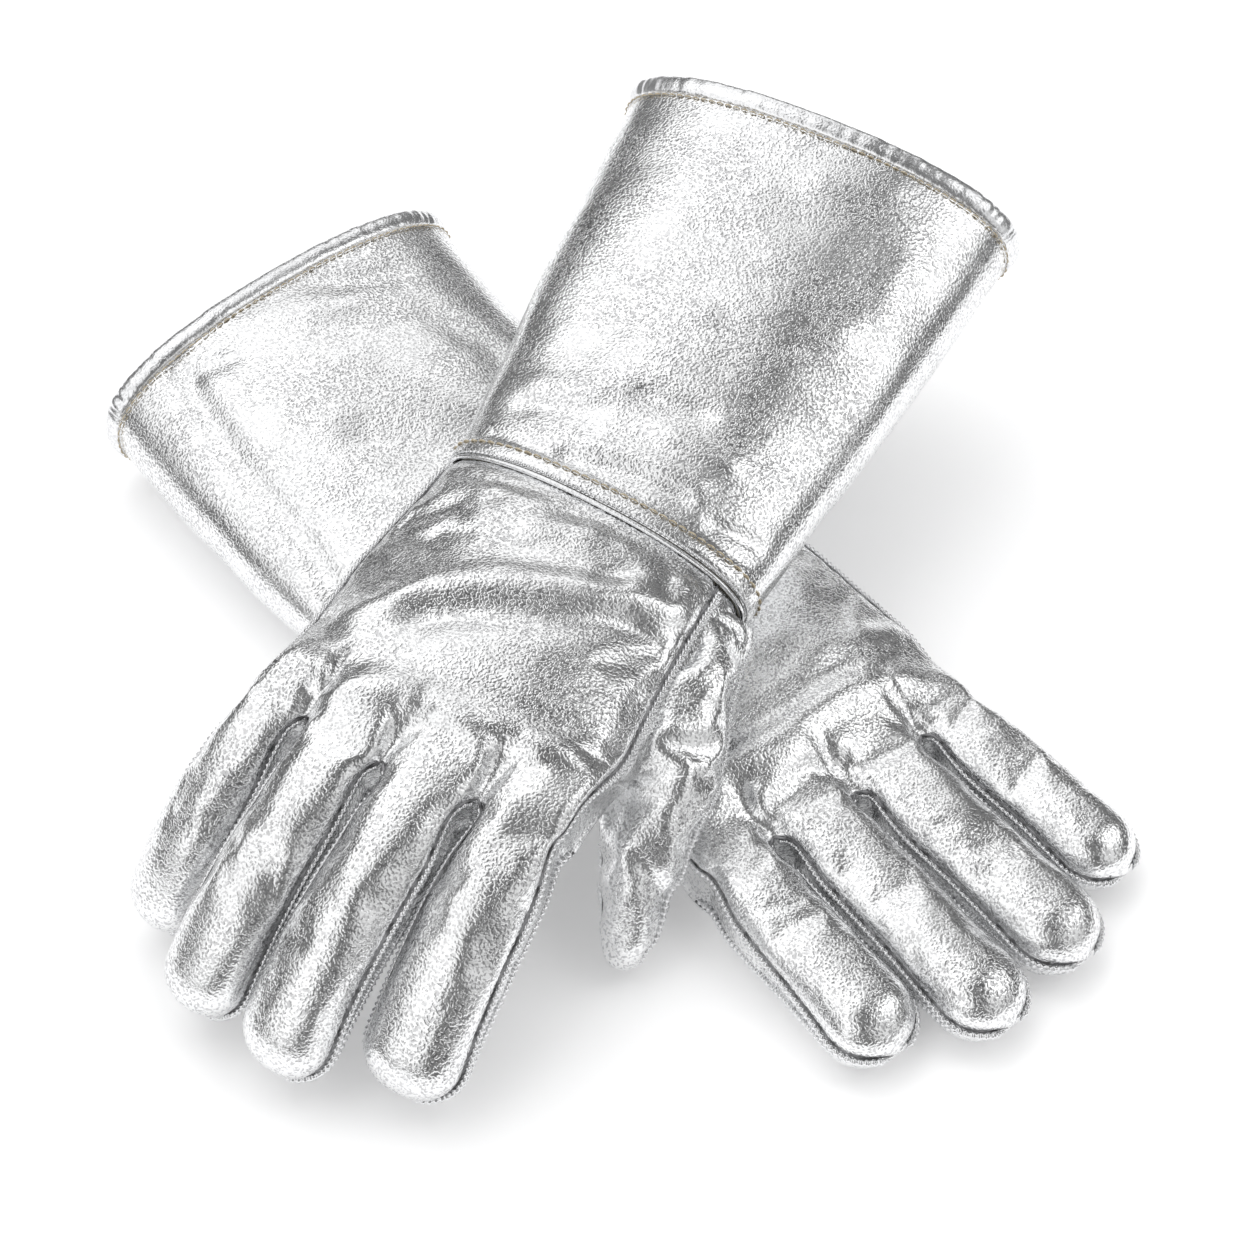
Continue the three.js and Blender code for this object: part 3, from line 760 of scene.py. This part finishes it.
def painted_shade_cord(name):
    """A dark cord laid in the bottom of each seam: painted shade, standing for the shadow in the seam's
    groove.
    """
    m = Nodes(name, (0.1, 0.1, 0.105), 0.0, 0.6)
    m.tint(m.ranged(m.noise(260, 2), 0.35, 0.65, 0, 1), (0.04, 0.04, 0.042), (0.3, 0.3, 0.31))
    return m.material


def fleece(name):
    m = Nodes(name, (0.8, 0.76, 0.66), 0.0, 0.95)
    m.tint(m.ranged(m.noise(120, 4), 0.3, 0.7, 0, 1), (0.62, 0.57, 0.46), (0.86, 0.83, 0.74))
    m.shader.inputs["Sheen Weight"].default_value = 0.4
    m.bump([(m.noise(260, 4, 1.0), 0.0012), (m.noise(1400, 2), 0.0003)])
    return m.material


# Both leathers have shade painted into the pits of their grain; the seam leather has half of it, with half
# the grain.
LEATHER = silver_leather("silver_leather")
SEAM_LEATHER = silver_leather("seam_leather", grain_and_pit_shade=0.5, pit_shade=(0.55, 0.55, 0.56),
                              light=(0.88, 0.885, 0.895), roughness=0.22)
# A near-black material for the tubes in the seams' grooves: painted shade for those grooves.
SEAM_SHADE = painted_shade_cord("seam_shade_painted")
THREAD = thread("tan_thread")
FLEECE = fleece("fleece")


# ---------------- riding on the bodies
# A ride is a body, or two bodies and the two points between which a piece is meant to bend from one to the
# other. Nothing here sets that bend up: a piece with two bodies is only baked in place.
def take_ride(piece, body, to=None, start=None, end=None):
    if to:
        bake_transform(piece)
    else:
        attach(piece, body)


def hand_ride(glove):
    return (glove["name"] + "_glove",)


def middle_at(d, s):
    """The middle of a digit's section at s along it, in the glove's frame."""
    return digit_point(d, np.array([s, s]), np.array([0, np.pi])).mean(0)


def across_digit(glove, d, start, end):
    """A ride from the hand to a digit, with two points of the glove's frame where the bend would go, turned
    into the part's frame.
    """
    ends = to_frame(glove, np.stack([start, end]))
    return *hand_ride(glove), f"{glove['name']}_{d['name']}", tuple(ends[0]), tuple(ends[1])


FINGER_BEND_RUN = 24


def across_knuckle(glove, d, ring):
    """A finger's ride, whose first point lies just past the ring that the finger is cut at."""
    middle = [middle_at(d, s) for s in (6.0, 30.0)]
    direction = (middle[1] - middle[0]) / np.linalg.norm(middle[1] - middle[0])
    past = ((ring - middle[0]) @ direction).max() + 0.5
    start = middle[0] + direction * past
    return across_digit(glove, d, start, start + direction * FINGER_BEND_RUN)


CUFF_BEND_START, CUFF_BEND_END = -3.0, -36.0


def cuff_ride(glove):
    """The left cuff is one body with its glove, and the right one gets a ride from its glove to its cuff,
    with two points just past the wrist.
    """
    if glove["name"] == "left":
        return hand_ride(glove)
    up_and_down = np.array([np.pi / 2, -np.pi / 2])
    ends = [skin(glove, x, up_and_down).mean(0) for x in (CUFF_BEND_START, CUFF_BEND_END)]
    ends = to_frame(glove, np.stack(ends))
    return "right_glove", "right_cuff", tuple(ends[0]), tuple(ends[1])


TABLE_GAP = 0.05


def nodes_of(glove, *kinds):
    """The CAD's nodes of a glove. A kind that ends in _ stands for every node that starts with it."""
    for kind in kinds:
        name = f"{glove['name']}_{kind}"
        if kind.endswith("_"):
            yield from (node for node in frame["nodes"] if node.startswith(name))
        else:
            yield name


def finished(kind, glove, points, faces, material, ride, replaced=(), normals=None, fill=None):
    """A piece of a glove: placed in the frame, given to take_ride, and the CAD nodes that it replaces
    hidden.
    """
    if glove["on_table"]:
        points = np.array(points)
        points[:, 2] = np.maximum(points[:, 2], TABLE_GAP)
    piece = make_mesh(f"{glove['name']}_{kind}", to_frame(glove, points), faces, material)
    if normals is not None:
        turn = placed(glove)[0] / MM
        piece.data.normals_split_custom_set_from_vertices([tuple(n) for n in normals @ turn.T])
    take_ride(piece, *ride)
    if replaced:
        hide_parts(*nodes_of(glove, *replaced))


def taken_apart(thing):
    """Points, normals, faces and face labels of a scratch mesh, which is then removed."""
    mesh = thing.data
    points, normals = points_of(thing), normals_of(thing)
    faces = [tuple(f.vertices) for f in mesh.polygons]
    labels = np.array([f.material_index for f in mesh.polygons])
    bpy.data.objects.remove(thing)
    bpy.data.meshes.remove(mesh)
    return points, normals, faces, labels


def part_of(points, normals, faces, wanted):
    """The vertices that the wanted faces use, and those faces numbered for them."""
    chosen = [faces[i] for i in np.flatnonzero(wanted)]
    used = sorted({v for f in chosen for v in f})
    number = {v: i for i, v in enumerate(used)}
    return points[used], normals[used], [tuple(number[v] for v in f) for f in chosen]


# ---------------- seams, stitches and tubes
def evened(line, spacing, *others):
    """A line of points again at an even spacing, with anything else that runs along it."""
    length = np.concatenate([[0], np.cumsum(np.linalg.norm(np.diff(line, axis=0), axis=1))])
    at = np.linspace(0, length[-1], max(2, int(length[-1] / spacing) + 1))
    stacked = [np.stack([np.interp(at, length, a[:, k]) for k in range(3)], 1) for a in (line, *others)]
    return at, *stacked


def unit(v):
    return v / np.maximum(np.linalg.norm(v, axis=1, keepdims=True), 1e-9)


def tube(line, normals, radius, flatness=1.0, sides=8):
    """Points and faces of a tube along a line. radius is one number or one for each point."""
    radius = np.broadcast_to(radius, len(line))
    tangent = unit(np.gradient(line, axis=0))
    across = unit(np.cross(tangent, normals))[:, None]
    up = np.cross(across, tangent[:, None])
    turn = round_angles(sides)[None, :, None]
    rim = np.cos(turn) * across + flatness * np.sin(turn) * up
    points = (line[:, None] + radius[:, None, None] * rim).reshape(-1, 3)
    faces = []
    for a in range(0, len(points) - sides, sides):
        b = a + sides
        faces += [(a + k, a + (k + 1) % sides, b + (k + 1) % sides, b + k) for k in range(sides)]
    faces += [tuple(range(sides))[::-1], tuple(range(len(points) - sides, len(points)))]
    return points, faces


def joined(parts):
    """Several (points, faces) pairs as one."""
    points, faces, first = [], [], 0
    for p, f in parts:
        points.append(p)
        faces += [tuple(i + first for i in face) for face in f]
        first += len(p)
    return np.concatenate(points), faces


RIB_DEPTH = 0.38        # as a share of the radius


def ribbed(line, normals, radius, pitch):
    """A sewn edge, drawn tight by its stitches every pitch along it, with tapered ends."""
    at, line, normals = evened(line, pitch / 4, normals)
    ends = smooth(at / 3) * smooth((at[-1] - at) / 3) * 0.9 + 0.1
    ribs = 1 + RIB_DEPTH * np.cos(2 * np.pi * at / pitch)
    return tube(line, unit(normals), radius * ends * ribs, flatness=0.9)


def stitches(line, normals, length, gap, radius):
    """A row of separate stitches, each one arched over the leather with its ends drawn in."""
    at, line, normals = evened(line, (length + gap) / 6, normals)
    normals = unit(normals)
    bow = np.sin(np.linspace(0, np.pi, 7))
    parts = []
    for k in range(int(at[-1] / (length + gap))):
        along = k * (length + gap) + gap / 2 + np.linspace(0, length, 7)
        p, n = (np.stack([np.interp(along, at, a[:, i]) for i in range(3)], 1) for a in (line, normals))
        p = p + n * ((bow - 0.55) * radius * 1.6)[:, None]
        parts.append(tube(p, unit(n), radius * (0.45 + 0.55 * bow), sides=6))
    return joined(parts)


SEWN_EDGE_PLACE, SEWN_EDGE_RADIUS, SEWN_EDGE_PITCH = 1.5, 1.0, 2.0
# The dark tube in each seam's groove is painted shade: how far it stands off the seam line, and its radius.
SHADE_CORD_LIFT, SHADE_CORD_RADIUS = 0.05, 0.42


def add_seams(glove, d, seams, ride):
    """The dark cord in each seam of a digit, painted shade that stands for the shadow in the seam's groove,
    and the knurled edge of the sewn strip beside it. A seam is its line and normals, and the edge's line
    and normals."""
    shade_cords, sewn = [], []
    for line, normals, edge, edge_normals in seams:
        _, middle, up = evened(line + normals * SHADE_CORD_LIFT, 1.0, normals)
        shade_cords.append(tube(middle, up, SHADE_CORD_RADIUS, flatness=0.9, sides=6))
        sewn.append(ribbed(edge, edge_normals, SEWN_EDGE_RADIUS, SEWN_EDGE_PITCH))
    finished(f"{d['name']}_seam_cords", glove, *joined(shade_cords), SEAM_SHADE, ride)
    finished(f"{d['name']}_sewn_edges", glove, *joined(sewn), SEAM_LEATHER, ride)


def finger_seams(d, net, points, normals):
    for (name, _, _), seam in net.seams.items():
        if name == d["name"]:
            edge, wall = np.array(seam).T
            line, n = points[edge], unit(normals[edge])
            aside = unit(points[wall] - line)
            beside = line + aside * SEWN_EDGE_PLACE + (unit(normals[wall]) + n) * 0.12
            yield line, n, beside, unit(normals[wall] + n)


# ---------------- the pieces of a glove
# How far a seam is drawn in, and how firmly its vertices are held in the cloth simulation.
FINGER_SEAM_DEPTH, FINGER_SEAM_HOLD = 0.9, 0.85
THUMB_SEAM_DEPTH, THUMB_SEAM_HOLD = 0.7, 0.8
WRIST_HELD_RUN = 6      # the hand is held fast this far from the wrist seam


def scratch_of(net):
    scratch = make_mesh("scratch", net.points(), net.faces)
    face_outwards(scratch)
    return scratch


def spread(count, vertices, value):
    """The value at those vertices of a mesh, and 0 at the others."""
    values = np.zeros(count)
    values[vertices] = value
    return values


def build_hand(glove):
    net = hand_net(glove)
    start, scratch = net.points(), scratch_of(net)
    scratch.data.polygons.foreach_set("material_index", net.labels)
    for _ in range(max(net.labels) + 1):
        scratch.data.materials.append(None)
    fold(scratch, glove, HAND_FOLDS[glove["name"]])
    pairs = np.concatenate([np.array(seam) for seam in net.seams.values()])
    held = spread(len(start), start[:, 0] < WRIST_HELD_RUN, 1)
    held[pairs.ravel()] = FINGER_SEAM_HOLD
    simulate(scratch, held, growth=0.012, pressure=3, cap=1.3)
    displace(scratch, spread(len(start), pairs[:, 0], -FINGER_SEAM_DEPTH))
    subdivide(scratch, 1)
    displace(scratch, layered_noise(points_of(scratch), FINE_NOISE))
    points, normals, faces, labels = taken_apart(scratch)
    p, n, f = part_of(points, normals, faces, labels == 0)
    finished("hand_skin", glove, p, f, LEATHER, hand_ride(glove), ["hand_back", "hand_palm"], n, fill=0.4)
    hand_vertices = {v for face, label in zip(faces, labels) if label == 0 for v in face}
    for i, d in enumerate(net.digits):
        p, n, f = part_of(points, normals, faces, labels == i + 1)
        own = {v for face, label in zip(faces, labels) if label == i + 1 for v in face}
        ride = across_knuckle(glove, d, points[sorted(own & hand_vertices)])
        finished(f"{d['name']}_skin", glove, p, f, LEATHER, ride, [f"{d['name']}_"], n, fill=0.6)
        add_seams(glove, d, finger_seams(d, net, points, normals), ride)


THUMB_ROWS, THUMB_COLUMNS = 40, 44
THUMB_IN_HAND = 10      # how far the thumb's skin goes on inside the hand
THUMB_CRUMPLE = {"left": 0.4, "right": 1}


def build_thumb(glove):
    d = prepare_digit(glove, glove["thumb"])
    angle = round_angles(THUMB_COLUMNS)
    straight = d["length"] - d["cap"]
    stations = [mix(-THUMB_IN_HAND, straight, r / THUMB_ROWS) for r in range(THUMB_ROWS + 1)]
    stations += [cap_station(d, row) for row in range(1, CAP_ROWS)]
    net = Net()
    rings = [net.add_ring(digit_point(d, s, angle)) for s in stations]
    net.loft(rings)
    tip = net.cap(rings[-1], digit_tip(d))
    start, scratch = net.points(), scratch_of(net)
    seams = np.array([ring[[0, THUMB_COLUMNS // 2]] for ring in rings])
    quiet = np.ones(len(start))
    quiet[seams] = 0.2
    displace(scratch, layered_noise(start, THUMB_NOISE) * THUMB_CRUMPLE[glove["name"]] * quiet)
    held = spread(len(start), seams, THUMB_SEAM_HOLD)
    held[rings[0]] = 1
    simulate(scratch, held, growth=0.04, pressure=3, cap=2.0)
    displace(scratch, spread(len(start), seams, -THUMB_SEAM_DEPTH))
    subdivide(scratch, 1)
    displace(scratch, layered_noise(points_of(scratch), FINE_NOISE))
    points, normals, faces, _ = taken_apart(scratch)
    ride = across_digit(glove, d, middle_at(d, -4.0), middle_at(d, 12.0))
    finished("thumb_skin", glove, points, faces, LEATHER, ride, ["thumb_"], fill=0.5)

    def seam_at(column):
        line, beside = (points[[ring[c] for ring in rings] + [tip]] for c in (column, column + 1))
        n = unit(normals[[ring[column] for ring in rings] + [tip]])
        aside = unit(beside - line + 1e-6)
        return line, n, line + aside * SEWN_EDGE_PLACE + n * 0.2, n

    add_seams(glove, d, [seam_at(0), seam_at(THUMB_COLUMNS // 2)], ride)


CUFF_ROWS, CUFF_COLUMNS = 86, 140
CUFF_START, CUFF_END = -1.0, 2.5 - CUFF_LENGTH
CUFF_ROW_POWER = 1.12               # rows lie closer together at the wrist
CUFF_LIP, CUFF_LIP_RUN = 1.3, 0.9   # how deep the edge dips under the piping, and over what distance
HEM_WIDTH, HEM_RISE, HEM_STEP = 7.6, 0.55, 1.2
WRIST_STITCH, WRIST_EDGE, RIM_STITCH = -6.6, -1.5, 8.6 - CUFF_LENGTH
WELT_PLACE, WELT_RADIUS, WELT_DEPTH, WELT_SIDES = 0.4, 0.8, 0.75, 12


def build_cuff(glove):
    ride = cuff_ride(glove)
    angle = round_angles(CUFF_COLUMNS)
    net = Net()
    rings = []
    for r in range(CUFF_ROWS + 1):
        x = mix(CUFF_START, CUFF_END, (r / CUFF_ROWS) ** CUFF_ROW_POWER)
        hem = HEM_RISE * (1 - smooth((-x - HEM_WIDTH) / HEM_STEP))
        lip = CUFF_LIP * math.exp(-((x - CUFF_START) / CUFF_LIP_RUN) ** 2)
        rings.append(net.add_ring(skin(glove, x, angle, lip - hem)))
    net.loft(rings)
    scratch = scratch_of(net)
    fold(scratch, glove, CUFF_FOLDS[glove["name"]])
    subdivide(scratch, 1)
    displace(scratch, layered_noise(points_of(scratch), FINE_NOISE) * 0.5)
    points, _, faces, _ = taken_apart(scratch)
    finished("cuff_skin", glove, points, faces, LEATHER, ride, ["cuff_back", "cuff_palm"], fill=0.3)

    round_cuff = np.linspace(0, 2 * np.pi, 361)

    def row(x, depth):
        line = skin(glove, x, round_cuff, depth)
        return line, unit(line - skin(glove, x, round_cuff, depth + 2))

    wrist = stitches(*row(WRIST_STITCH, -HEM_RISE - 0.3), length=3.0, gap=0.5, radius=0.36)
    finished("wrist_stitches", glove, *wrist, THREAD, ride)
    edge = ribbed(*row(WRIST_EDGE, 0.15), radius=0.5, pitch=1.6)
    finished("wrist_sewn_edge", glove, *edge, SEAM_LEATHER, ride)
    rim = stitches(*row(RIM_STITCH, -HEM_RISE), length=2.6, gap=0.45, radius=0.3)
    finished("rim_stitches", glove, *rim, THREAD, ride)

    net = Net()
    lines = []
    for a in round_angles(WELT_SIDES):
        x, depth = WELT_PLACE + WELT_RADIUS * math.cos(a), WELT_DEPTH - WELT_RADIUS * math.sin(a)
        lines.append(net.add_ring(skin(glove, x, round_cuff[:-1], depth)))
    net.loft(lines, closed=True)
    finished("wrist_welt", glove, net.points(), net.faces, SEAM_LEATHER, hand_ride(glove), ["wrist_piping"])
    build_binding(glove, ride)
    build_lining(glove, ride)


# The rolled binding's section: distance from the rim, and depth, round from its outer edge.
BINDING_SECTION = [(8.0, 0.1), (7.4, -1.0), (5.4, -1.7), (3.0, -1.9), (1.0, -1.5), (-0.1, -0.1),
                   (-0.3, 2.2), (0.2, 4.6), (1.6, 6.2), (4.4, 6.7), (7.4, 6.4), (8.0, 5.2), (6.6, 3.0)]
BINDING_COLUMNS = 300
BINDING_CALM_DEPTH = 5      # deeper than this, inside the cuff, the binding is smooth


def build_binding(glove, ride):
    angle = round_angles(BINDING_COLUMNS)
    net = Net()
    lines = []
    for i, (x, depth) in enumerate(BINDING_SECTION):
        # Noise over the binding laid out flat: along the rim, and round the section.
        flat = np.stack([angle * 70, np.full(len(angle), 0.35 * i), np.zeros(len(angle))], 1)
        crinkle = layered_noise(flat, BINDING_NOISE) * (depth < BINDING_CALM_DEPTH)
        lines.append(net.add_ring(skin(glove, x - CUFF_LENGTH, angle, depth - crinkle)))
    net.loft(lines, closed=True)
    scratch = scratch_of(net)
    subdivide(scratch, 1)
    points, _, faces, _ = taken_apart(scratch)
    finished("rim_binding", glove, points, faces, SEAM_LEATHER, ride, ["cuff_binding"], fill=0.5)


FLEECE_OUTER, FLEECE_INNER = 3.0, 5.4       # depths of the fleece's two faces
POCKET_DEPTH, POCKET_ROUNDING = 56, 5       # of the fleece inside the hand, which ends in a round corner


def build_lining(glove, ride):
    """The fleece inside the cuff, a double wall, and inside the hand, a closed pocket."""
    angle = round_angles(120)

    def walls(stations):
        net = Net()
        rings = []
        for x, depth in stations:
            p = skin(glove, x, angle, depth)
            n = unit(p - skin(glove, x, angle, depth + 1))
            rings.append(net.add_ring(p + n * (0.35 * noise_at(p, 5, 2))[:, None]))
        return net, rings

    xs = np.linspace(-CUFF_LENGTH + 3, -0.5, 60)
    net, rings = walls([(x, FLEECE_OUTER) for x in xs] + [(x, FLEECE_INNER) for x in xs[::-1]])
    net.loft(rings, closed=True)
    finished("cuff_fleece", glove, net.points(), net.faces, FLEECE, ride, ["cuff_lining"])
    pocket = [(x, FLEECE_OUTER) for x in np.linspace(1, POCKET_DEPTH, 24)]
    for a in np.linspace(0.3, 1.5, 5):
        x = POCKET_DEPTH + POCKET_ROUNDING * math.sin(a)
        pocket.append((x, FLEECE_OUTER + POCKET_ROUNDING * (1 - math.cos(a))))
    net, rings = walls(pocket)
    net.loft(rings)
    net.cap(rings[-1], net.points()[rings[-1]].mean(0) + np.array([1.0, 0, 0]))
    finished("hand_fleece", glove, net.points(), net.faces, FLEECE, hand_ride(glove), ["hand_liner"])


for glove in (LEFT, RIGHT):
    build_hand(glove)
    build_thumb(glove)
    build_cuff(glove)


# ---------------- floor, lights and camera
FLOOR_GLOW = 0.2        # the table gives off a little light, as a white sweep lit from below does


def build_stage():
    floor = make_mesh("floor", [(-4, -4, 0), (4, -4, 0), (4, 6, 0), (-4, 6, 0)], [(0, 1, 2, 3)])
    m = Nodes("pale_floor", (0.94, 0.94, 0.945), 0.0, 0.9)
    m.tint(m.ranged(m.noise(3, 2), 0.3, 0.7, 0, 1), (0.93, 0.93, 0.935), (0.95, 0.95, 0.952))
    m.shader.inputs["Emission Color"].default_value = (1, 1, 1, 1)
    m.shader.inputs["Emission Strength"].default_value = FLOOR_GLOW
    floor.data.materials.append(m.material)


LAMP_PLACE, LAMP_TARGET, LAMP_SIZE, LAMP_POWER = (-0.1, 0.35, 1.5), (0, 0, 0.03), (2.2, 2.0), 14


def build_lamp():
    """A wide softbox overhead. The leather doesn't mirror it: what it mirrors is the sky's lobes."""
    data = bpy.data.lights.new("softbox", "AREA")
    data.shape = "RECTANGLE"
    data.size, data.size_y = LAMP_SIZE
    data.energy = LAMP_POWER
    lamp = linked("softbox", data)
    lamp.visible_glossy = False
    lamp.location = LAMP_PLACE
    lamp.rotation_euler = (Vector(LAMP_TARGET) - Vector(LAMP_PLACE)).to_track_quat("-Z", "Y").to_euler()


SKY_BASE = 0.17
# Bright patches of the sky: azimuth and elevation of their middle (azimuth 0 is behind the pair, 90 on
# its right), half width and softness, all in degrees, and brightness above the base. Where two of them
# overlap, the brighter one counts.
SKY_LOBES = [(-40, 58, 23, 9, 1.15), (-95, 50, 24, 10, 0.95), (-138, 32, 24, 10, 1.0), (84, 48, 20, 8, 1.2),
             (2, 38, 15, 9, 1.0), (125, 30, 22, 12, 0.6)]


def build_sky():
    world = bpy.data.worlds.new("studio")
    bpy.context.scene.world = world
    sky = Tree(world)
    direction = sky.add("ShaderNodeTexCoord").outputs["Generated"]
    total = None
    for azimuth, elevation, half, soft, level in SKY_LOBES:
        a, e = math.radians(azimuth), math.radians(elevation)
        dot = sky.add("ShaderNodeVectorMath", operation="DOT_PRODUCT")
        dot.inputs[1].default_value = (math.sin(a) * math.cos(e), math.cos(a) * math.cos(e), math.sin(e))
        sky.link(direction, dot.inputs[0])
        outer, inner = math.cos(math.radians(half + soft)), math.cos(math.radians(half - soft))
        ends = {"From Min": outer, "From Max": inner, "To Max": level}
        fade = sky.add("ShaderNodeMapRange", interpolation_type="SMOOTHSTEP", **ends)
        sky.link(dot.outputs["Value"], fade.inputs["Value"])
        brightest = sky.add("ShaderNodeMath", operation="MAXIMUM")
        brightest.inputs[1].default_value = 0
        sky.link(fade.outputs[0], brightest.inputs[0])
        if total:
            sky.link(total, brightest.inputs[1])
        total = brightest.outputs[0]
    level = sky.add("ShaderNodeMath", operation="ADD")
    level.inputs[1].default_value = SKY_BASE
    sky.link(total, level.inputs[0])
    background = sky.tree.nodes["Background"]
    sky.link(level.outputs[0], background.inputs["Strength"])
    background.inputs["Color"].default_value = (1, 1, 1, 1)


CAMERA_ELEVATION, CAMERA_DISTANCE, LENS, SENSOR = 48.8, 1.05, 91.87, 36
TARGET_FROM_LEFT = (0.0078, 0.0074, 0.0)        # from the left glove's own origin


def build_camera():
    data = bpy.data.cameras.new("camera")
    data.lens, data.sensor_width = LENS, SENSOR
    camera = linked("camera", data)
    target = Vector(placed(LEFT)[1]) + Vector(TARGET_FROM_LEFT)
    tilt = math.radians(CAMERA_ELEVATION)
    camera.location = target + Vector((0, -math.cos(tilt), math.sin(tilt))) * CAMERA_DISTANCE
    camera.rotation_euler = (math.pi / 2 - tilt, 0, 0)
    bpy.context.scene.camera = camera


build_stage()
build_lamp()
build_sky()
build_camera()
bpy.context.scene.view_settings.view_transform = "Standard"
